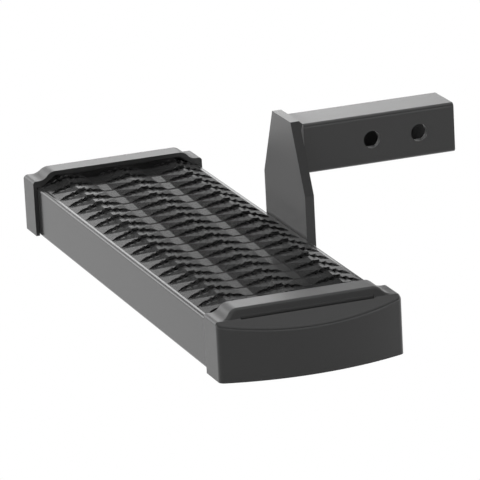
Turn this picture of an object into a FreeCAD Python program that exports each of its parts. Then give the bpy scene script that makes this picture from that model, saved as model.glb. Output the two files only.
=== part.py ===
import FreeCAD, Part
import math
import os
import Sketcher
from FreeCAD import Placement, Rotation, Vector

# Hitch receiver step. Millimetres, +Z up, +Y away from the tread towards the vehicle.
# The origin is the axis of the hitch-pin hole nearest the tube's free end, midway between its walls.
# Pieces are drawn with y = 0 on the plank's rear face and z = 0 on the ground, then moved to it.

SIZES = [
    ("plank_length", 558.8),
    ("plank_width", 178.0),
    ("plank_height", 51.7),
    ("gauge", 2.0),
    ("bend_radius", 3.0),
    ("side_lap", 4.0),
    ("return_flange", 20.0),
    ("tread_ledge", 5.0),
    ("slit_pitch", 27.6),
    ("slit_shift", 20.9),
    ("land_width", 10.0),
    ("land_step", 1.9),
    ("tooth_pitch", 6.2),
    ("tooth_depth", 2.2),
    ("ridge_rise", 3.8),
    ("back_bow", 3.5),
    ("back_rise", 7.4),
    ("back_lip", 3.2),
    ("back_lip_rise", 0.4),
    ("front_bow", 3.5),
    ("front_rise", 9.0),
    ("front_lip", 3.0),
    ("front_lip_rise", 2.6),
    ("end_rise", 6.0),
    ("knee_reach", 5.0),
    ("knee_lift", 1.3),
    ("cap_overlap", 20.9),
    ("cap_wall", 4.1),
    ("cap_side", 36.4),
    ("cap_bow", 16.5),
    ("cap_shoulder", 58.6),
    ("cap_corner", 6.5),
    ("cap_edge", 3.5),
    ("cap_clearance", 0.25),
    ("hump_top", 67.0),
    ("hump_depth", 25.0),
    ("hump_inset", 24.6),
    ("hump_ramp", 18.0),
    ("hump_root", 1.4),
    ("hump_roof", 4.2),
    ("hump_edge", 4.5),
    ("groove_back", 1.6),
    ("groove_front", 1.5),
    ("groove_depth", 2.0),
    ("groove_inset", 25.6),
    ("deck_start", 31.0),
    ("deck_angle", 26.6),
    ("deck_roof", 4.5),
    ("boss_width", 16.0),
    ("boss_height", 14.0),
    ("screw_radius", 2.4),
    ("screw_head_radius", 4.6),
    ("screw_length", 13.0),
    ("screw_inset", 9.0),
    ("tube_size", 50.8),
    ("tube_wall", 6.35),
    ("tube_corner", 4.0),
    ("tube_length", 165.1),
    ("tube_axis_height", 133.9),
    ("pin_radius", 8.73),
    ("pin_pitch", 50.8),
    ("pin_from_end", 38.1),
    ("plate_thickness", 9.525),
    ("plate_width", 113.2),
    ("plate_flare_height", 95.0),
    ("plate_lip", 4.4),
    ("plate_foot", 4.0),
    ("plate_foot_corner", 8.0),
    ("weld_leg", 4.0),
    ("brace_spacing", 60.0),
    ("brace_width", 30.0),
    ("brace_depth", 26.0),
    ("brace_gauge", 3.0),
    ("brace_foot", 5.0),
    ("bolt_radius", 3.97),
    ("bolt_clearance", 0.4),
    ("bolt_low", 13.5),
    ("bolt_pitch", 20.0),
    ("bolt_head_flats", 12.7),
    ("bolt_head_height", 5.3),
    ("bolt_tail", 2.5),
    ("washer_radius", 8.7),
    ("washer_thickness", 1.6),
    ("nut_height", 8.7),
]

SLIT_COLUMNS = 3

doc = FreeCAD.newDocument("hitch_step")
dims = doc.addObject("Spreadsheet::Sheet", "dims")
for row, (alias, value) in enumerate(SIZES, start=1):
    dims.set("A%d" % row, alias)
    dims.set("B%d" % row, str(value))
    dims.setAlias("B%d" % row, alias)
doc.recompute()

# Places that several pieces share, as formulas on the sheet
PIN_REACH = "(dims.plate_thickness + dims.tube_length - dims.pin_from_end)"
CAP_BACK = "(dims.plank_length / 2 - dims.cap_overlap)"
SOCKET_DEPTH = "(dims.cap_overlap + dims.cap_clearance)"
BRACE_TOP = "(dims.plank_height - dims.gauge)"
NUT_SEAT = "(dims.gauge + dims.brace_gauge)"
BOLT_HOLE = "(dims.bolt_radius + dims.bolt_clearance)"

finished = {}


def size(alias):
    return float(dims.get(alias))


def put(piece, x="0", y="0", z="0", turn=None):
    """Place a piece by formulas; turn is a fixed rotation."""
    if turn is not None:
        piece.Placement = Placement(Vector(0, 0, 0), turn)
    for axis, formula in (("x", x), ("y", y), ("z", z)):
        if formula != "0":
            piece.setExpression("Placement.Base." + axis, formula)


def finish(piece, label, x="0", y="0", z="0", turn=None):
    """Label a finished piece and move it from the drawing place to the part's frame."""
    piece.Label = label
    put(piece, x, y + " - " + PIN_REACH, z + " - dims.tube_axis_height", turn)
    finished[label] = piece


def origin_plane(body, role):
    return [feature for feature in body.Origin.OriginFeatures if feature.Role == role][0]


def new_sketch(body, name, role):
    sketch = body.newObject("Sketcher::SketchObject", name)
    sketch.AttachmentSupport = [(origin_plane(body, role), "")]
    sketch.MapMode = "FlatFace"
    return sketch


def value_of(sketch, formula):
    return float(sketch.evalExpression(formula))


def pin_point(sketch, edge, end, across, up):
    """Hold one end of a sketch edge at formulas measured from the sketch's origin."""
    for kind, axis, formula in (("DistanceX", -2, across), ("DistanceY", -1, up)):
        if formula == "0":
            sketch.addConstraint(Sketcher.Constraint("PointOnObject", edge, end, axis))
        else:
            value = value_of(sketch, formula)
            index = sketch.addConstraint(Sketcher.Constraint(kind, -1, 1, edge, end, value))
            sketch.setExpression("Constraints[%d]" % index, formula)


def outline(sketch, corners):
    """Closed outline of straight edges through corners given as pairs of formulas."""
    first = sketch.GeometryCount
    points = [Vector(value_of(sketch, across), value_of(sketch, up), 0) for across, up in corners]
    for start, end in zip(points, points[1:] + points[:1]):
        sketch.addGeometry(Part.LineSegment(start, end), False)
    for i, (across, up) in enumerate(corners):
        following = first + (i + 1) % len(corners)
        sketch.addConstraint(Sketcher.Constraint("Coincident", first + i, 2, following, 1))
    for i, (across, up) in enumerate(corners):
        pin_point(sketch, first + i, 1, across, up)


def circle(sketch, across, up, radius):
    centre = Vector(value_of(sketch, across), value_of(sketch, up), 0)
    start_radius = value_of(sketch, radius)
    edge = sketch.addGeometry(Part.Circle(centre, Vector(0, 0, 1), start_radius), False)
    pin_point(sketch, edge, 3, across, up)
    index = sketch.addConstraint(Sketcher.Constraint("Radius", edge, start_radius))
    sketch.setExpression("Constraints[%d]" % index, radius)


def pad(body, name, sketch, length, backwards=False, midplane=False):
    feature = body.newObject("PartDesign::Pad", name)
    feature.Profile = sketch
    feature.Reversed = backwards
    feature.Midplane = midplane
    feature.setExpression("Length", length)
    doc.recompute()
    return feature


def pocket(body, name, sketch, length=None, backwards=False, midplane=False):
    """Cut a sketch into the body, to a depth or, without one, right through both ways."""
    doc.recompute()
    before = body.Shape.Volume
    feature = body.newObject("PartDesign::Pocket", name)
    feature.Profile = sketch
    feature.Reversed = backwards
    feature.Midplane = midplane
    if length is None:
        feature.Type = 1
        feature.Midplane = True
    else:
        feature.setExpression("Length", length)
    doc.recompute()
    if not body.Shape.Volume < before - 1:
        raise RuntimeError(name + " cuts nothing")
    return feature


def fillet(body, name, radius, wanted):
    """Round the edges of the body's last feature whose box passes the test wanted(box)."""
    base = body.Tip
    edges = ["Edge%d" % (i + 1) for i, edge in enumerate(base.Shape.Edges) if wanted(edge.BoundBox)]
    if not edges:
        raise RuntimeError(name + " finds no edge")
    feature = body.newObject("PartDesign::Fillet", name)
    feature.Base = (base, edges)
    feature.setExpression("Radius", radius)
    doc.recompute()
    if feature.Shape.isNull() or "Invalid" in feature.State:
        raise RuntimeError(name + " fails on %s" % edges)
    return feature


def cylinder(name, radius, height, x="0", y="0", z="0", turn=None):
    piece = doc.addObject("Part::Cylinder", name)
    piece.setExpression("Radius", radius)
    piece.setExpression("Height", height)
    put(piece, x, y, z, turn)
    return piece


def cut(name, base, tool):
    piece = doc.addObject("Part::Cut", name)
    piece.Base = base
    piece.Tool = tool
    return piece


def fuse(name, shapes):
    piece = doc.addObject("Part::MultiFuse", name)
    piece.Shapes = shapes
    return piece


ALONG_Y = Rotation(Vector(1, 0, 0), -90)
AGAINST_Y = Rotation(Vector(1, 0, 0), 90)
HALF_TURN = Rotation(Vector(1, 0, 0), 180)


# Tread: strands between rows of toothed slits, arched up at the middle of each slit so that
# the slits open, with lips folded up along both cut edges, and joined by narrow lands
def plane_rise(a, b, c, x, y):
    """Height at x and y of the plane through three points."""
    normal = (b - a).cross(c - a)
    return a.z - (normal.x * (x - a.x) + normal.y * (y - a.y)) / normal.z


def toothed(start, end, fold, depth):
    """Points from start to end, shifted fore and aft in the plane that also holds fold.

    The shift grows over the first steps, where the lip is still narrow.
    """
    teeth = max(1, int(round(abs(end.y - start.y) / size("tooth_pitch"))))
    points = [start]
    for i in range(1, 2 * teeth):
        shift = depth * min(1.0, i / (1.6 * teeth)) * (1 if i % 2 else -1)
        point = start + (end - start) * (i / (2.0 * teeth))
        x = point.x + shift
        points.append(Vector(x, point.y, plane_rise(start, end, fold, x, point.y)))
    return points + [end]


def tip_rises(outer):
    """Heights of the sheet at a slit's tip: on its line, behind it and in front of it."""
    if outer:
        return 0.0, 0.0, 0.0
    ridge = size("ridge_rise")
    return ridge, ridge - size("back_lip_rise"), ridge - size("land_step")


def half_strand(x, tip_y, mid_y, outer, end_x, front_x):
    """Facets and cut edges of a strand from the slits' tips to their middle.

    x and front_x are the lines of the slits behind and in front. One of them is None where the
    strand runs on to the plank's cut end at end_x. Beside a side wall, outer is true: the tips
    are level there.
    """
    facets = []
    edges = []
    ridge, low_back, low_front = tip_rises(outer)
    depth = size("tooth_depth")
    if x is None:
        fold_back = Vector(end_x, mid_y, size("end_rise"))
        trough_back = Vector(end_x, tip_y, low_back)
    else:
        tip = Vector(x, tip_y, ridge)
        middle = Vector(x + size("back_bow"), mid_y, size("back_rise"))
        fold_back = middle + Vector(size("back_lip"), 0, -size("back_lip_rise"))
        trough_back = Vector(x + size("back_lip"), tip_y, low_back)
        edge = toothed(tip, middle, fold_back, -depth)
        facets.append(edge + [fold_back])
        facets.append([tip, fold_back, trough_back])
        edges.append(edge)
    if front_x is None:
        fold_front = Vector(end_x, mid_y, size("end_rise"))
        trough_front = Vector(end_x, tip_y, low_front)
    else:
        tip = Vector(front_x, tip_y, ridge)
        middle = Vector(front_x - size("front_bow"), mid_y, size("front_rise"))
        fold_front = middle - Vector(size("front_lip"), 0, size("front_lip_rise"))
        trough_front = Vector(front_x - size("front_lip"), tip_y, low_front)
        share = size("knee_reach") / abs(mid_y - tip_y)
        knee = tip + (middle - tip) * share + Vector(0, 0, size("knee_lift"))
        edge = toothed(knee, middle, fold_front, depth)
        facets.append(edge + [fold_front])
        facets.append([knee, fold_front, trough_front])
        facets.append([tip, knee, trough_front])
        edges.append([tip] + edge)
    facets.append([trough_back, fold_back, fold_front])
    facets.append([trough_back, fold_front, trough_front])
    return facets, edges


def tread_shape():
    length = size("plank_length")
    width = size("plank_width")
    pitch = size("slit_pitch")
    ledge = size("tread_ledge")
    lap = size("side_lap")
    land = size("land_width") / 2
    column = width / SLIT_COLUMNS
    end = length / 2
    reach = end - size("cap_overlap")
    first = math.ceil((-reach - size("slit_shift")) / pitch)
    last = math.floor((reach - size("slit_shift")) / pitch)
    lines = [size("slit_shift") + pitch * k for k in range(first, last + 1)]
    spans = [(None, -end, lines[0])]
    spans += [(a, None, b) for a, b in zip(lines, lines[1:])]
    spans += [(lines[-1], end, None)]
    ridge, low_back, low_front = tip_rises(False)

    facets = []
    edges = []
    tips = []
    for number in range(SLIT_COLUMNS):
        low = -width + column * number
        near = low + (ledge if number == 0 else land)
        far = low + column - (ledge if number == SLIT_COLUMNS - 1 else land)
        middle = (near + far) / 2
        tips.append((near, far))
        for back, end_x, front in spans:
            for tip_y, outer in ((near, number == 0), (far, number == SLIT_COLUMNS - 1)):
                more, open_edges = half_strand(back, tip_y, middle, outer, end_x, front)
                facets += more
                edges += open_edges

    # The lands between the columns, and the two plain ledges beside the side walls
    stations = [(-end, low_back)]
    for back, end_x, front in spans:
        if back is not None:
            stations.append((back, ridge))
            stations.append((back + size("back_lip"), low_back))
        if front is not None:
            stations.append((front - size("front_lip"), low_front))
    stations.append((end, low_front))
    for (_, near), (far, _) in zip(tips, tips[1:]):
        for (xa, za), (xb, zb) in zip(stations, stations[1:]):
            facets.append([Vector(xa, near, za), Vector(xb, near, zb), Vector(xb, far, zb), Vector(xa, far, za)])
    for inside, outside in ((tips[0][0], -width + lap), (tips[-1][1], -lap)):
        strip = [Vector(x, inside, 0) for x, _ in stations]
        facets.append(strip + [Vector(end, outside, 0), Vector(-end, outside, 0)])
        edges.append([Vector(-end, outside, 0), Vector(end, outside, 0)])

    # The section at the plank's cut ends
    for end_x, rise in ((-end, low_back), (end, low_front)):
        section = [Vector(end_x, -width + lap, 0)]
        for number, (near, far) in enumerate(tips):
            section.append(Vector(end_x, near, 0.0 if number == 0 else rise))
            section.append(Vector(end_x, (near + far) / 2, size("end_rise")))
            section.append(Vector(end_x, far, 0.0 if number == SLIT_COLUMNS - 1 else rise))
        section.append(Vector(end_x, -lap, 0))
        edges.append(section)

    up = Vector(0, 0, size("plank_height"))
    down = up - Vector(0, 0, size("gauge"))
    faces = []
    for facet in facets:
        for level_shift in (up, down):
            points = [point + level_shift for point in facet]
            faces.append(Part.Face(Part.makePolygon(points + points[:1])))
    for edge in edges:
        for a, b in zip(edge, edge[1:]):
            points = [a + up, b + up, b + down, a + down]
            faces.append(Part.Face(Part.makePolygon(points + points[:1])))
    shell = Part.Shell(faces)
    if not shell.isClosed():
        shell.sewShape()
    solid = Part.Solid(Part.Shell(shell.Faces))
    if solid.Volume < 0:
        solid.reverse()
    return solid


tread = doc.addObject("Part::Feature", "tread_sheet")
tread.Shape = tread_shape()


# Plank side: wall with a rolled top edge and a return flange along the ground
def plank_side(name, rear):
    body = doc.addObject("PartDesign::Body", name)
    sketch = new_sketch(body, name + "_section", "YZ_Plane")

    def across(inset):
        return "-(%s)" % inset if rear else "-dims.plank_width + (%s)" % inset

    flange = "dims.return_flange"
    gauge = "dims.gauge"
    top = "dims.plank_height"
    wall = "0" if rear else "-dims.plank_width"
    outline(sketch, [
        (across("dims.side_lap"), top),
        (wall, top),
        (wall, "0"),
        (across(flange), "0"),
        (across(flange), gauge),
        (across(gauge), gauge),
        (across(gauge), top + " - " + gauge),
        (across("dims.side_lap"), top + " - " + gauge),
    ])
    pad(body, name + "_wall", sketch, "dims.plank_length", midplane=True)
    wall_y = 0.0 if rear else -size("plank_width")

    def outer_bend(box):
        return box.XLength > 1 and abs(box.YMin - wall_y) < 0.01

    def inner_bend(box):
        inside = wall_y + (-1 if rear else 1) * size("gauge")
        return box.XLength > 1 and box.YLength < 0.01 and abs(box.YMin - inside) < 0.01

    fillet(body, name + "_outer_bend", "dims.bend_radius", lambda box: outer_bend(box) and box.YLength < 0.01)
    fillet(body, name + "_inner_bend", "dims.bend_radius - dims.gauge", inner_bend)
    return body


sides = [plank_side("front_side", False), plank_side("rear_side", True)]
plank_sheet = fuse("plank_sheet", [tread] + sides)

BOLT_PLACES = []
for side in ("-", ""):
    for step in ("0", "1"):
        across = side + "dims.brace_spacing / 2"
        up = "dims.bolt_low + " + step + " * dims.bolt_pitch"
        BOLT_PLACES.append((across, up))

SCREW_PLACES = []
for side in ("-", ""):
    for across in ("-dims.plank_width + dims.return_flange - dims.screw_inset", "-dims.return_flange + dims.screw_inset"):
        along = side + "(dims.plank_length / 2 - dims.screw_inset)"
        SCREW_PLACES.append((along, across))

plank_tools = []
for number, (across, up) in enumerate(BOLT_PLACES, start=1):
    name = "wall_hole_%d" % number
    plank_tools.append(cylinder(name, BOLT_HOLE, "2 * dims.gauge", across, "-1.5 * dims.gauge", up, ALONG_Y))
for number, (along, across) in enumerate(SCREW_PLACES, start=1):
    sink = doc.addObject("Part::Cone", "flange_sink_%d" % number)
    sink.setExpression("Radius1", "dims.screw_head_radius + dims.bolt_clearance / 4")
    sink.setExpression("Radius2", "dims.screw_radius + dims.bolt_clearance / 4")
    sink.setExpression("Height", "dims.gauge")
    put(sink, along, across)
    plank_tools.append(sink)
plank = cut("plank", plank_sheet, fuse("plank_holes", plank_tools))
finish(plank, "tread_plank")


# End cap: a sleeve over the plank's end, a hump that clears the tread, a sloping deck and a bowed front
def end_cap():
    body = doc.addObject("PartDesign::Body", "cap_body")
    outside = "-dims.plank_width - dims.cap_wall"
    half = "(dims.plank_width / 2 + dims.cap_wall)"
    middle = "-dims.plank_width / 2"
    crest = "(dims.plank_width / 2 + dims.cap_wall - dims.hump_inset)"

    plan = new_sketch(body, "cap_plan", "XY_Plane")
    bowed_outline(plan, "0", "dims.cap_side", outside, "dims.cap_wall", half)
    pad(body, "cap_block", plan, "dims.cap_shoulder")

    hump = new_sketch(body, "cap_hump_section", "YZ_Plane")
    foot = "(%s + dims.hump_ramp)" % crest
    root = "dims.cap_shoulder - dims.hump_root"
    bend_at = "(%s + dims.hump_ramp / 2)" % crest
    bend_height = "(dims.cap_shoulder + dims.hump_top) / 2"
    climb = "(dims.hump_top - dims.cap_shoulder)"
    bend = "(dims.hump_ramp ^ 2 + %s ^ 2) / (4 * %s)" % (climb, climb)
    curved_outline(hump, [
        (middle + " - " + foot, root),
        (middle + " + " + foot, root),
        (middle + " + " + foot, "dims.cap_shoulder"),
        (middle + " + " + bend_at, bend_height),
        (middle + " + " + crest, "dims.hump_top"),
        (middle + " - " + crest, "dims.hump_top"),
        (middle + " - " + bend_at, bend_height),
        (middle + " - " + foot, "dims.cap_shoulder"),
    ], {2: (bend, True), 3: (bend, False), 5: (bend, False), 6: (bend, True)})
    pad(body, "cap_hump", hump, "dims.deck_start")
    fillet(body, "cap_corners", "dims.cap_corner",
           lambda box: box.ZLength > 30 and box.XLength < 0.01 and abs(box.XMin - size("cap_side")) < 0.01)

    deck = new_sketch(body, "cap_deck_section", "XZ_Plane")
    reach = "(dims.cap_side + 2 * dims.cap_bow)"
    outline(deck, [
        ("dims.hump_depth", "dims.hump_top + dims.cap_wall"),
        ("dims.hump_depth", "dims.hump_top"),
        ("dims.deck_start", "dims.cap_shoulder"),
        (reach, "dims.cap_shoulder - (%s - dims.deck_start) * tan(dims.deck_angle * 1deg)" % reach),
        (reach, "dims.hump_top + dims.cap_wall"),
    ])
    pocket(body, "cap_deck", deck)

    groove = new_sketch(body, "cap_groove_section", "XZ_Plane")
    groove.setExpression("AttachmentOffset.Base.z", "dims.plank_width / 2")
    outline(groove, [
        ("dims.deck_start - dims.groove_back", "dims.cap_shoulder - dims.groove_depth"),
        ("dims.deck_start + dims.groove_front", "dims.cap_shoulder - dims.groove_depth"),
        ("dims.deck_start + dims.groove_front", "dims.hump_top"),
        ("dims.deck_start - dims.groove_back", "dims.hump_top"),
    ])
    groove_half = "(dims.plank_width / 2 + dims.cap_wall - dims.groove_inset)"
    pocket(body, "cap_groove", groove, "2 * " + groove_half, midplane=True)

    shoulder = size("cap_shoulder")
    side_y = (-size("plank_width") - size("cap_wall"), size("cap_wall"))

    def along_rim(box):
        on_side = min(abs(box.YMin - y) + abs(box.YMax - y) for y in side_y) < 0.05
        round_front = box.XMax > size("cap_side") - 1
        high = box.ZMin > shoulder / 2 and box.ZMax < shoulder + 0.1
        return high and box.XMax > size("cap_corner") and (on_side or round_front)

    fillet(body, "cap_rim", "dims.cap_edge", along_rim)
    fillet(body, "cap_hump_edge", "dims.hump_edge",
           lambda box: size("hump_depth") - 0.1 < box.XMin < size("hump_depth") + 2
           and box.ZMax > size("cap_shoulder") + 1)

    socket = new_sketch(body, "cap_socket_section", "YZ_Plane")
    gap = "dims.cap_clearance"
    low = "-dims.plank_width - " + gap
    ceiling = "dims.plank_height + " + gap
    roof = "dims.hump_top - dims.hump_roof"
    relief = "dims.tread_ledge"
    outline(socket, [
        (low, "-dims.gauge"),
        (low, ceiling),
        ("-dims.plank_width + " + relief, ceiling),
        (middle + " - " + crest, roof),
        (middle + " + " + crest, roof),
        ("-" + relief, ceiling),
        (gap, ceiling),
        (gap, "-dims.gauge"),
    ])
    pocket(body, "cap_socket", socket, SOCKET_DEPTH, backwards=True)

    hollow = new_sketch(body, "cap_hollow_plan", "XY_Plane")
    bowed_outline(hollow, SOCKET_DEPTH + " + dims.cap_wall", "dims.cap_side - dims.cap_wall",
                  "-dims.plank_width", "0", "(dims.plank_width / 2)")
    fall = "(dims.cap_side + dims.cap_bow - dims.deck_start) * tan(dims.deck_angle * 1deg)"
    roof_height = "dims.cap_shoulder - %s - dims.deck_roof" % fall
    pocket(body, "cap_hollow", hollow, roof_height, backwards=True)

    # Two bosses over the return flanges take the screws
    for name, rear in (("front", False), ("rear", True)):
        boss = new_sketch(body, "cap_boss_" + name, "YZ_Plane")
        near = "dims.bend_radius + " + gap
        if rear:
            ys = ("-(%s) - dims.boss_width" % near, "-(%s)" % near)
        else:
            ys = ("-dims.plank_width + " + near, "-dims.plank_width + " + near + " + dims.boss_width")
        outline(boss, [(ys[0], "dims.gauge"), (ys[1], "dims.gauge"),
                       (ys[1], "dims.boss_height"), (ys[0], "dims.boss_height")])
        pad(body, "cap_boss_pad_" + name, boss, SOCKET_DEPTH + " + dims.cap_wall / 2")
    pilots = new_sketch(body, "cap_pilot_plan", "XY_Plane")
    for _, across in SCREW_PLACES[2:]:
        circle(pilots, "dims.cap_overlap - dims.screw_inset", across, "dims.screw_radius + dims.bolt_clearance / 4")
    pocket(body, "cap_pilots", pilots, "dims.screw_length + dims.gauge", backwards=True)
    return body


def curved_outline(sketch, corners, arcs):
    """Closed outline as outline() draws it, with the edges numbered in arcs bent to a radius.

    arcs gives, for an edge's number, its radius as a formula and whether it bends inwards.
    """
    points = [Vector(value_of(sketch, across), value_of(sketch, up), 0) for across, up in corners]
    ends = points[1:] + points[:1]
    forward = []
    for i, (a, b) in enumerate(zip(points, ends)):
        if i in arcs:
            formula, inwards = arcs[i]
            radius = value_of(sketch, formula)
            rise = radius - math.sqrt(radius ** 2 - ((b - a).Length / 2) ** 2)
            outwards = Vector((b - a).y, -(b - a).x, 0)
            outwards.normalize()
            through = (a + b) / 2 + outwards * (-rise if inwards else rise)
            sketch.addGeometry(Part.Arc(a, through, b), False)
        else:
            sketch.addGeometry(Part.LineSegment(a, b), False)
        forward.append((sketch.getPoint(i, 1) - a).Length < 0.001)
    for i in range(len(corners)):
        following = (i + 1) % len(corners)
        ending = 2 if forward[i] else 1
        starting = 1 if forward[following] else 2
        sketch.addConstraint(Sketcher.Constraint("Coincident", i, ending, following, starting))
    for i, (across, up) in enumerate(corners):
        pin_point(sketch, i, 1 if forward[i] else 2, across, up)
    for i, (formula, _) in arcs.items():
        index = sketch.addConstraint(Sketcher.Constraint("Radius", i, value_of(sketch, formula)))
        sketch.setExpression("Constraints[%d]" % index, formula)


def bowed_outline(sketch, back, front, low, high, half):
    """Plan of three straight sides and a front bowed out by cap_bow."""
    corners = [(front, high), (back, high), (back, low), (front, low)]
    points = [Vector(value_of(sketch, across), value_of(sketch, up), 0) for across, up in corners]
    radius = "(%s ^ 2 + dims.cap_bow ^ 2) / (2 * dims.cap_bow)" % half
    crown = Vector(points[0].x + size("cap_bow"), (points[0].y + points[3].y) / 2, 0)
    for a, b in zip(points, points[1:]):
        sketch.addGeometry(Part.LineSegment(a, b), False)
    sketch.addGeometry(Part.Arc(points[3], crown, points[0]), False)
    for i in range(3):
        sketch.addConstraint(Sketcher.Constraint("Coincident", i, 2, i + 1, 1))
    sketch.addConstraint(Sketcher.Constraint("Coincident", 3, 2, 0, 1))
    for i in range(3):
        pin_point(sketch, i, 1, *corners[i])
    pin_point(sketch, 2, 2, *corners[3])
    index = sketch.addConstraint(Sketcher.Constraint("Radius", 3, value_of(sketch, radius)))
    sketch.setExpression("Constraints[%d]" % index, radius)


cap_right = end_cap()
finish(cap_right, "end_cap_right", x=CAP_BACK)
cap_left = doc.addObject("Part::Mirroring", "cap_mirror")
cap_left.Source = cap_right
cap_left.Normal = Vector(1, 0, 0)
cap_left.Label = "end_cap_left"
finished["end_cap_left"] = cap_left


# Drop plate: as wide as the tube at the top, flared to its full width at the plank
plate_body = doc.addObject("PartDesign::Body", "plate_body")
plate_top = "dims.tube_axis_height + dims.tube_size / 2 + dims.plate_lip"
plate_outline = new_sketch(plate_body, "plate_outline", "XZ_Plane")
outline(plate_outline, [
    ("-dims.plate_width / 2", "dims.plate_foot"),
    ("dims.plate_width / 2", "dims.plate_foot"),
    ("dims.plate_width / 2", "dims.plate_flare_height"),
    ("dims.tube_size / 2", plate_top),
    ("-dims.tube_size / 2", plate_top),
    ("-dims.plate_width / 2", "dims.plate_flare_height"),
])
pad(plate_body, "plate_blank", plate_outline, "dims.plate_thickness", backwards=True)
fillet(plate_body, "plate_foot_corners", "dims.plate_foot_corner",
       lambda box: box.YLength > 1 and box.ZLength < 0.01 and box.ZMin < size("plate_foot") + 0.01)
plate_holes = new_sketch(plate_body, "plate_bolt_holes", "XZ_Plane")
for across, up in BOLT_PLACES:
    circle(plate_holes, across, up, BOLT_HOLE)
pocket(plate_body, "plate_holes", plate_holes)
finish(plate_body, "drop_plate")

# Receiver tube, from the plate's rear face to its free end
tube_body = doc.addObject("PartDesign::Body", "tube_body")
tube_half = "dims.tube_size / 2"
bore_half = "(dims.tube_size / 2 - dims.tube_wall)"
tube_section = new_sketch(tube_body, "tube_section", "XZ_Plane")
outline(tube_section, [("-" + tube_half, "-" + tube_half), (tube_half, "-" + tube_half),
                       (tube_half, tube_half), ("-" + tube_half, tube_half)])
pad(tube_body, "tube_bar", tube_section, "dims.tube_length", backwards=True)
fillet(tube_body, "tube_corners", "dims.tube_corner", lambda box: box.YLength > 1)
tube_bore = new_sketch(tube_body, "tube_bore", "XZ_Plane")
outline(tube_bore, [("-" + bore_half, "-" + bore_half), (bore_half, "-" + bore_half),
                    (bore_half, bore_half), ("-" + bore_half, bore_half)])
pocket(tube_body, "tube_inside", tube_bore)
pin_holes = new_sketch(tube_body, "pin_hole_places", "YZ_Plane")
for steps in ("0", "1"):
    circle(pin_holes, "dims.tube_length - dims.pin_from_end - %s * dims.pin_pitch" % steps, "0", "dims.pin_radius")
pocket(tube_body, "pin_holes", pin_holes)
finish(tube_body, "receiver_tube", y="dims.plate_thickness", z="dims.tube_axis_height")

# Fillet weld round the tube on the plate's rear face, kept inside the plate's outline
weld_body = doc.addObject("PartDesign::Body", "weld_body")
weld_half = "(dims.tube_size / 2 + dims.weld_leg)"
weld_foot = new_sketch(weld_body, "weld_foot", "XZ_Plane")
outline(weld_foot, [("-" + weld_half, "-" + weld_half), (weld_half, "-" + weld_half),
                    (weld_half, weld_half), ("-" + weld_half, weld_half)])
weld_pad = pad(weld_body, "weld_bead", weld_foot, "dims.weld_leg", backwards=True)
weld_pad.TaperAngle = -45
weld_limit = doc.addObject("PartDesign::Body", "weld_limit")
limit_outline = new_sketch(weld_limit, "weld_limit_outline", "XZ_Plane")
outline(limit_outline, [
    ("-dims.plate_width / 2", "dims.plate_flare_height - dims.tube_axis_height"),
    ("dims.plate_width / 2", "dims.plate_flare_height - dims.tube_axis_height"),
    ("dims.tube_size / 2", "dims.tube_size / 2 + dims.plate_lip"),
    ("-dims.tube_size / 2", "dims.tube_size / 2 + dims.plate_lip"),
])
pad(weld_limit, "weld_limit_block", limit_outline, "dims.tube_length / 2", backwards=True)
weld_common = doc.addObject("Part::MultiCommon", "weld_common")
weld_common.Shapes = [weld_body, weld_limit]
weld_tube = doc.addObject("PartDesign::Body", "weld_tube")
weld_section = new_sketch(weld_tube, "weld_tube_section", "XZ_Plane")
outline(weld_section, [("-" + tube_half, "-" + tube_half), (tube_half, "-" + tube_half),
                       (tube_half, tube_half), ("-" + tube_half, tube_half)])
pad(weld_tube, "weld_tube_bar", weld_section, "dims.tube_length", backwards=True)
fillet(weld_tube, "weld_tube_corners", "dims.tube_corner", lambda box: box.YLength > 1)
weld = cut("weld", weld_common, weld_tube)
finish(weld, "tube_weld", y="dims.plate_thickness", z="dims.tube_axis_height")


# Brace: a channel open below, with a tab bent down at each end against the plank's walls
def brace(name, across):
    body = doc.addObject("PartDesign::Body", name + "_body")
    front = "-dims.plank_width + dims.gauge"
    section = new_sketch(body, name + "_section", "YZ_Plane")
    top = BRACE_TOP
    web = "(dims.plank_height - dims.gauge - dims.brace_gauge)"
    outline(section, [
        (front, "dims.brace_foot"),
        (front, top),
        ("-dims.gauge", top),
        ("-dims.gauge", "dims.brace_foot"),
        ("-dims.gauge - dims.brace_gauge", "dims.brace_foot"),
        ("-dims.gauge - dims.brace_gauge", web),
        (front + " + dims.brace_gauge", web),
        (front + " + dims.brace_gauge", "dims.brace_foot"),
    ])
    pad(body, name + "_strip", section, "dims.brace_width", midplane=True)
    height = size("plank_height") - size("gauge")
    fillet(body, name + "_bends", "dims.brace_gauge",
           lambda box: box.XLength > 1 and box.YLength < 0.01 and abs(box.ZMin - height) < 0.01)
    for side, sign in (("outer", ""), ("inner", "-")):
        flange = new_sketch(body, name + "_" + side + "_flange", "XZ_Plane")
        edge = sign + "dims.brace_width / 2"
        inside = sign + "(dims.brace_width / 2 - dims.brace_gauge)"
        outline(flange, [(edge, BRACE_TOP + " - dims.brace_depth"), (edge, web), (inside, web),
                         (inside, BRACE_TOP + " - dims.brace_depth")])
        flange.setExpression("AttachmentOffset.Base.z", "dims.gauge")
        pad(body, name + "_" + side + "_wall", flange, "dims.plank_width - 2 * dims.gauge")
    holes = new_sketch(body, name + "_holes", "XZ_Plane")
    for _, up in BOLT_PLACES[:2]:
        circle(holes, "0", up, BOLT_HOLE)
    pocket(body, name + "_bolt_holes", holes, NUT_SEAT, backwards=True)
    finish(body, name, x=across)


brace("brace_left", "-dims.brace_spacing / 2")
brace("brace_right", "dims.brace_spacing / 2")

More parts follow.
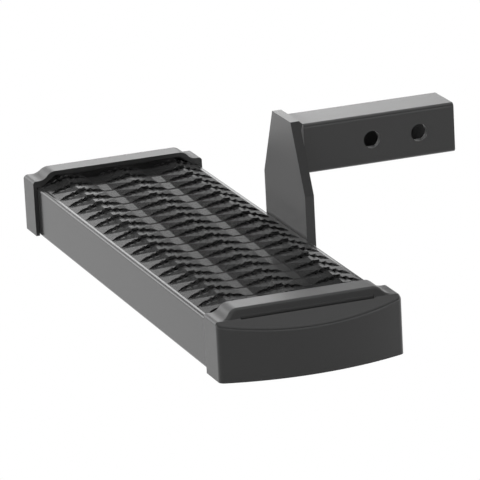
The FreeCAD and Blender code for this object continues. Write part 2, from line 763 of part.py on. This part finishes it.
# Bolts, washers and lock nuts, their heads behind the plate and their nuts inside the plank
HEX_CORNER = "(dims.bolt_head_flats / 2 / cos(30deg))"
HEAD_SEAT = "(dims.plate_thickness + dims.washer_thickness)"
BOLT_LENGTH = "(%s + %s + dims.washer_thickness + dims.nut_height + dims.bolt_tail)" % (HEAD_SEAT, NUT_SEAT)


def hexagon(name, height):
    piece = doc.addObject("Part::Prism", name)
    piece.Polygon = 6
    piece.setExpression("Circumradius", HEX_CORNER)
    piece.setExpression("Height", height)
    return piece


def ring(name, outer, inner, height):
    return cut(name, cylinder(name + "_disc", outer, height), cylinder(name + "_hole", inner, height))


THREAD_HOLE = "dims.bolt_radius + dims.bolt_clearance / 8"
for number, (across, up) in enumerate(BOLT_PLACES, start=1):
    tag = "_%d" % number
    head = hexagon("bolt_head" + tag, "dims.bolt_head_height")
    shank = cylinder("bolt_shank" + tag, "dims.bolt_radius", BOLT_LENGTH, z="-" + BOLT_LENGTH)
    finish(fuse("bolt" + tag, [head, shank]), "plate_bolt" + tag, across, HEAD_SEAT, up, ALONG_Y)
    washer = ring("head_washer" + tag, "dims.washer_radius", BOLT_HOLE, "dims.washer_thickness")
    finish(washer, "bolt_washer" + tag, across, "dims.plate_thickness", up, ALONG_Y)
    inner_washer = ring("seat_washer" + tag, "dims.washer_radius", BOLT_HOLE, "dims.washer_thickness")
    finish(inner_washer, "nut_washer" + tag, across, "-" + NUT_SEAT, up, AGAINST_Y)
    nut = cut("nut" + tag, hexagon("nut_blank" + tag, "dims.nut_height"),
              cylinder("nut_thread" + tag, THREAD_HOLE, "dims.nut_height"))
    finish(nut, "lock_nut" + tag, across, "-(%s + dims.washer_thickness)" % NUT_SEAT, up, AGAINST_Y)

# Countersunk screws, flush with the underside of the return flanges
for number, (along, across) in enumerate(SCREW_PLACES, start=1):
    tag = "_%d" % number
    head = doc.addObject("Part::Cone", "screw_head" + tag)
    head.setExpression("Radius1", "dims.screw_head_radius")
    head.setExpression("Radius2", "dims.screw_radius")
    head.setExpression("Height", "dims.gauge")
    shank = cylinder("screw_shank" + tag, "dims.screw_radius", "dims.screw_length", z="dims.gauge / 2")
    finish(fuse("screw" + tag, [head, shank]), "cap_screw" + tag, along, across, "0")

doc.recompute()

for item in doc.Objects:
    if "Invalid" in item.State or "Error" in item.State:
        raise RuntimeError("%s failed: %s" % (item.Name, item.State))
for label, piece in finished.items():
    shape = piece.Shape
    if shape.isNull() or not shape.isValid() or len(shape.Solids) != 1:
        raise RuntimeError("%s is not one valid solid" % label)

os.makedirs("parts", exist_ok=True)
for label, piece in finished.items():
    piece.Shape.exportStep("parts/%s.step" % label)
    box = piece.Shape.BoundBox
    print("%-16s %10.1f mm3  x %.1f %.1f  y %.1f %.1f  z %.1f %.1f" % (
        label, piece.Shape.Volume, box.XMin, box.XMax, box.YMin, box.YMax, box.ZMin, box.ZMax))
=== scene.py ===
import bmesh
import bpy
import math
from mathutils import Matrix, Vector


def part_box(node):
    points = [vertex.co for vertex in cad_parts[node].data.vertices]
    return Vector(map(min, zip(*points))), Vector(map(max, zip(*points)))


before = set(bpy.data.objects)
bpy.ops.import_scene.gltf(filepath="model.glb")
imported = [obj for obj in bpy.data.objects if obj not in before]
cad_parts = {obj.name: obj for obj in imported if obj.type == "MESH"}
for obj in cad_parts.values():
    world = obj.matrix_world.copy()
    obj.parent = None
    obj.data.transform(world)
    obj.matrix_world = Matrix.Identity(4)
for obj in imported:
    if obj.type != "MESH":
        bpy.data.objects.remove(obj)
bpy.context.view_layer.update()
scene = bpy.context.scene

# The floor lies under the lowest of the end caps and the plank
groundHeight = min(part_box(node)[0][2] for node in ("end_cap_left", "end_cap_right", "tread_plank"))


def newNode(tree, kind, place, **values):
    node = tree.nodes.new(kind)
    node.location = place
    for name, value in values.items():
        setattr(node, name, value)
    return node


# A Math node whose inputs are sockets or plain numbers
def newMath(tree, operation, place, *terms):
    node = newNode(tree, "ShaderNodeMath", place, operation=operation)
    for socket, term in zip(node.inputs, terms):
        if isinstance(term, (int, float)):
            socket.default_value = term
        else:
            tree.links.new(term, socket)
    return node.outputs[0]


def newNoise(tree, place, vector, detail):
    noise = newNode(tree, "ShaderNodeTexNoise", place)
    noise.inputs["Detail"].default_value = detail
    tree.links.new(vector, noise.inputs["Vector"])
    return noise


def newGroup(name, inputs, outputs):
    group = bpy.data.node_groups.new(name, "ShaderNodeTree")
    for socket in inputs:
        group.interface.new_socket(name=socket, in_out="INPUT", socket_type="NodeSocketFloat")
    for socket, kind in outputs:
        group.interface.new_socket(name=socket, in_out="OUTPUT", socket_type=kind)
    return group


# Colour and gloss changes that every coating shares: soft clouds and a fine speckle
coatLook = {
    "cloudScale": 9.0,
    "cloudDetail": 3.0,
    "speckleScale": 900.0,
    "speckleDetail": 1.0,
}


def buildCoatGroup():
    group = newGroup("coatVariation", ("Base Grey", "Cloud", "Speckle", "Roughness", "Roughness Range"),
                     (("Color", "NodeSocketColor"), ("Roughness", "NodeSocketFloat")))
    link = group.links.new
    given = newNode(group, "NodeGroupInput", (-900, 0)).outputs
    made = newNode(group, "NodeGroupOutput", (700, 0)).inputs
    place = newNode(group, "ShaderNodeTexCoord", (-1100, -300)).outputs["Object"]
    cloud = newNoise(group, (-900, -250), place, coatLook["cloudDetail"])
    cloud.inputs["Scale"].default_value = coatLook["cloudScale"]
    speckle = newNoise(group, (-900, -500), place, coatLook["speckleDetail"])
    speckle.inputs["Scale"].default_value = coatLook["speckleScale"]
    cloudShift = newMath(group, "SUBTRACT", (-700, -250), cloud.outputs["Fac"], 0.5)
    speckleShift = newMath(group, "SUBTRACT", (-700, -500), speckle.outputs["Fac"], 0.5)
    cloudPart = newMath(group, "MULTIPLY", (-500, -250), cloudShift, given["Cloud"])
    specklePart = newMath(group, "MULTIPLY", (-500, -500), speckleShift, given["Speckle"])
    mixed = newMath(group, "ADD", (-300, -350), cloudPart, specklePart)
    gain = newMath(group, "ADD", (-150, -350), mixed, 1.0)
    grey = newMath(group, "MULTIPLY", (0, -100), given["Base Grey"], gain)
    colour = newNode(group, "ShaderNodeCombineColor", (450, -100))
    for channel in ("Red", "Green", "Blue"):
        link(grey, colour.inputs[channel])
    link(colour.outputs["Color"], made["Color"])
    rough = newMath(group, "MULTIPLY", (0, -600), cloudShift, given["Roughness Range"])
    link(newMath(group, "ADD", (200, -600), rough, given["Roughness"]), made["Roughness"])
    return group


# Height of a fine surface grain, used by paint, plating and moulded plastic at their own scales
grainLook = {
    "grainDetail": 2.0,
    "rippleDetail": 1.0,
}


def buildGrainGroup():
    group = newGroup("surfaceGrain", ("Grain Scale", "Ripple Scale", "Ripple"),
                     (("Height", "NodeSocketFloat"),))
    link = group.links.new
    given = newNode(group, "NodeGroupInput", (-900, 0)).outputs
    made = newNode(group, "NodeGroupOutput", (500, 0)).inputs
    place = newNode(group, "ShaderNodeTexCoord", (-900, -200)).outputs["Object"]
    grain = newNoise(group, (-500, 100), place, grainLook["grainDetail"])
    link(given["Grain Scale"], grain.inputs["Scale"])
    ripple = newNoise(group, (-500, -200), place, grainLook["rippleDetail"])
    link(given["Ripple Scale"], ripple.inputs["Scale"])
    strength = newMath(group, "MULTIPLY", (-200, -200), ripple.outputs["Fac"], given["Ripple"])
    link(newMath(group, "ADD", (100, 0), grain.outputs["Fac"], strength), made["Height"])
    return group


coatGroup = buildCoatGroup()
grainGroup = buildGrainGroup()

# Black powder coat on steel, black moulded plastic, black oxide screws and zinc-plated fasteners
finishes = {
    "treadPaint": dict(grey=0.009, cloud=0.12, speckle=0.25, roughness=0.17, roughnessRange=0.05,
                       metallic=0.0, ior=1.42, sheen=0.05, grainScale=520.0, rippleScale=70.0,
                       ripple=0.6, bump=0.06, bumpDistance=0.0006),
    "framePaint": dict(grey=0.009, cloud=0.12, speckle=0.2, roughness=0.34, roughnessRange=0.05,
                       metallic=0.0, ior=1.36, sheen=0.35, grainScale=520.0, rippleScale=70.0,
                       ripple=0.6, bump=0.06, bumpDistance=0.0006),
    "capPlastic": dict(grey=0.009, cloud=0.1, speckle=0.2, roughness=0.34, roughnessRange=0.04,
                       metallic=0.0, ior=1.35, sheen=0.22, grainScale=1100.0, rippleScale=90.0,
                       ripple=0.3, bump=0.1, bumpDistance=0.0004),
    "blackScrew": dict(grey=0.02, cloud=0.1, speckle=0.2, roughness=0.35, roughnessRange=0.05,
                       metallic=0.0, ior=1.43, sheen=0.0, grainScale=900.0, rippleScale=90.0,
                       ripple=0.3, bump=0.05, bumpDistance=0.0004),
    "zincPlate": dict(grey=0.55, cloud=0.25, speckle=0.3, roughness=0.3, roughnessRange=0.15,
                      metallic=1.0, ior=1.43, sheen=0.0, grainScale=700.0, rippleScale=120.0,
                      ripple=0.5, bump=0.08, bumpDistance=0.0004),
}


def buildFinish(name, look):
    material = bpy.data.materials.new(name)
    material.use_nodes = True
    tree = material.node_tree
    shader = tree.nodes["Principled BSDF"]
    coat = newNode(tree, "ShaderNodeGroup", (-500, 200), node_tree=coatGroup)
    grain = newNode(tree, "ShaderNodeGroup", (-700, -200), node_tree=grainGroup)
    bump = newNode(tree, "ShaderNodeBump", (-300, -200))
    for node, socket, value in ((shader, "Metallic", "metallic"), (shader, "IOR", "ior"),
                                (shader, "Sheen Weight", "sheen"),
                                (coat, "Base Grey", "grey"), (coat, "Cloud", "cloud"),
                                (coat, "Speckle", "speckle"), (coat, "Roughness", "roughness"),
                                (coat, "Roughness Range", "roughnessRange"),
                                (grain, "Grain Scale", "grainScale"), (grain, "Ripple Scale", "rippleScale"),
                                (grain, "Ripple", "ripple"),
                                (bump, "Strength", "bump"), (bump, "Distance", "bumpDistance")):
        node.inputs[socket].default_value = look[value]
    link = tree.links.new
    link(coat.outputs["Color"], shader.inputs["Base Color"])
    link(coat.outputs["Roughness"], shader.inputs["Roughness"])
    link(grain.outputs["Height"], bump.inputs["Height"])
    link(bump.outputs["Normal"], shader.inputs["Normal"])
    return material


materials = {name: buildFinish(name, look) for name, look in finishes.items()}
print("materials built", len(materials))

# The finish of each piece, by the start of its name
pieceFinish = {
    "tread_plank": "treadPaint",
    "end_cap": "capPlastic",
    "drop_plate": "framePaint",
    "receiver_tube": "framePaint",
    "tube_weld": "framePaint",
    "brace": "framePaint",
    "plate_bolt": "zincPlate",
    "bolt_washer": "zincPlate",
    "nut_washer": "zincPlate",
    "lock_nut": "zincPlate",
    "cap_screw": "blackScrew",
}


def dressNode(node):
    piece = bpy.data.objects[node]
    finish = next(pieceFinish[stem] for stem in pieceFinish if node.startswith(stem))
    if not piece.material_slots:
        piece.data.materials.append(materials[finish])
    for slot in piece.material_slots:
        slot.material = materials[finish]


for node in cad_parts:
    dressNode(node)
print("nodes dressed", len(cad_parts))

# The camera, solved from the photograph's straight edges
cameraLook = {
    "right": Vector((0.34862225, 0.93590479, -0.05044557)),
    "down": Vector((0.24982782, -0.14466564, -0.95742254)),
    "forward": Vector((-0.90335408, 0.32117609, -0.28424871)),
    "place": Vector((4.23066, -1.690775, 1.2407)),
    "lens": 352.543,
    "sensor": 36.0,
    "reach": 100.0,
}


def buildCamera():
    data = bpy.data.cameras.new("photoCamera")
    data.lens = cameraLook["lens"]
    data.sensor_width = cameraLook["sensor"]
    data.clip_end = cameraLook["reach"]
    camera = bpy.data.objects.new("photoCamera", data)
    axes = (cameraLook["right"], -cameraLook["down"], -cameraLook["forward"])
    turn = Matrix(axes).transposed().to_4x4()
    camera.matrix_world = Matrix.Translation(cameraLook["place"]) @ turn
    scene.collection.objects.link(camera)
    scene.camera = camera


buildCamera()
print("camera placed")

# A white room. "bands" lights it by height, from the horizon at 0 to overhead at 1. "flag" dims it
# by the turn from +X towards +Y, as a share of half a turn.
studio = {
    "floorSize": 12.0,
    "floorGrey": 0.8,
    "floorDrop": 0.0001,
    "wallGap": 0.004,
    "noseGap": 0.022,
    "bands": [(0.0, 2.8), (0.24, 3.4), (0.3, 2.9), (0.335, 1.4), (0.4, 1.5), (0.425, 0.05), (0.7, 0.1),
              (0.85, 1.6), (1.0, 1.6)],
    "flag": [(0.0, 1.0), (0.7, 1.0), (0.78, 0.35), (0.84, 0.3), (0.86, 0.1), (0.87, 0.1), (0.884, 1.0),
             (1.0, 1.0)],
}


def greyColor(level):
    return (level, level, level, 1)


def greyRamp(tree, levels, place, share):
    ramp = newNode(tree, "ShaderNodeValToRGB", place)
    stops = ramp.color_ramp.elements
    for stop, (at, level) in ((stops[0], levels[0]), (stops[1], levels[-1])):
        stop.position = at
        stop.color = greyColor(level)
    for at, level in levels[1:-1]:
        stops.new(at).color = greyColor(level)
    tree.links.new(share, ramp.inputs[0])
    return ramp.outputs["Color"]


def buildWorld():
    world = bpy.data.worlds.new("studioRoom")
    scene.world = world
    world.use_nodes = True
    tree = world.node_tree
    tree.nodes.clear()
    link = tree.links.new
    direction = newNode(tree, "ShaderNodeTexCoord", (-1100, 0))
    split = newNode(tree, "ShaderNodeSeparateXYZ", (-900, 0))
    link(direction.outputs["Generated"], split.inputs[0])
    height = greyRamp(tree, studio["bands"], (-500, 0), split.outputs["Z"])
    # The dark flag keeps the strands' far slopes dim while the flat tops shine
    turn = newMath(tree, "ARCTAN2", (-700, -300), split.outputs["Y"], split.outputs["X"])
    share = newMath(tree, "DIVIDE", (-600, -300), turn, math.pi)
    flag = greyRamp(tree, studio["flag"], (-500, -300), share)
    room = newNode(tree, "ShaderNodeBackground", (-150, 0))
    link(newMath(tree, "MULTIPLY", (-300, -100), height, flag), room.inputs["Color"])
    white = newNode(tree, "ShaderNodeBackground", (-150, -200))
    white.inputs["Color"].default_value = greyColor(1)
    rays = newNode(tree, "ShaderNodeLightPath", (-150, 300))
    mix = newNode(tree, "ShaderNodeMixShader", (100, 0))
    link(rays.outputs["Is Camera Ray"], mix.inputs["Fac"])
    link(room.outputs[0], mix.inputs[1])
    link(white.outputs[0], mix.inputs[2])
    output = newNode(tree, "ShaderNodeOutputWorld", (300, 0))
    link(mix.outputs[0], output.inputs["Surface"])


# 1 on the part of the floor that the plank and the caps cover, 0 elsewhere
def underPlank(tree):
    low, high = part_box("tread_plank")
    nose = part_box("end_cap_right")[1][0] - studio["noseGap"]
    wall = (high[1] - low[1]) / 2 - studio["wallGap"]
    place = newNode(tree, "ShaderNodeTexCoord", (-1200, 0))
    split = newNode(tree, "ShaderNodeSeparateXYZ", (-1000, 0))
    tree.links.new(place.outputs["Object"], split.inputs[0])
    inside = []
    for axis, reach in enumerate((nose, wall)):
        row = -200 * axis
        middle = (low[axis] + high[axis]) / 2
        offset = newMath(tree, "SUBTRACT", (-800, row), split.outputs[axis], middle)
        distance = newMath(tree, "ABSOLUTE", (-600, row), offset)
        inside.append(newMath(tree, "LESS_THAN", (-400, row), distance, reach))
    return newMath(tree, "MULTIPLY", (-200, -200), *inside)


# Seen straight, mirrored or through glass the floor is white, and as a lit floor it keeps the shadow
def floorPaper():
    material = bpy.data.materials.new("studioFloor")
    material.use_nodes = True
    tree = material.node_tree
    link = tree.links.new
    shader = tree.nodes["Principled BSDF"]
    shader.inputs["Base Color"].default_value = greyColor(studio["floorGrey"])
    shader.inputs["Roughness"].default_value = 1.0
    shader.inputs["Specular IOR Level"].default_value = 0.0
    white = newNode(tree, "ShaderNodeEmission", (0, -300))
    rays = newNode(tree, "ShaderNodeLightPath", (-600, 500)).outputs
    seen = newMath(tree, "MAXIMUM", (-400, 500), rays["Is Camera Ray"], rays["Is Glossy Ray"])
    seen = newMath(tree, "MAXIMUM", (-250, 500), seen, rays["Is Transmission Ray"])
    # Under the plank it stays as it is lit, so the hollow shows dark through the tread
    bare = newMath(tree, "SUBTRACT", (-50, 300), seen, underPlank(tree))
    bare.node.use_clamp = True
    mix = newNode(tree, "ShaderNodeMixShader", (300, 0))
    link(bare, mix.inputs["Fac"])
    link(shader.outputs[0], mix.inputs[1])
    link(white.outputs[0], mix.inputs[2])
    link(mix.outputs[0], tree.nodes["Material Output"].inputs["Surface"])
    return material


def buildFloor():
    mesh = bpy.data.meshes.new("studioFloor")
    shape = bmesh.new()
    bmesh.ops.create_grid(shape, x_segments=1, y_segments=1, size=studio["floorSize"] / 2)
    bmesh.ops.translate(shape, verts=shape.verts, vec=(0, 0, groundHeight - studio["floorDrop"]))
    shape.to_mesh(mesh)
    shape.free()
    mesh.materials.append(floorPaper())
    floor = bpy.data.objects.new("studioFloor", mesh)
    scene.collection.objects.link(floor)


buildWorld()
buildFloor()
print("studio built")

scene.view_settings.view_transform = "Standard"
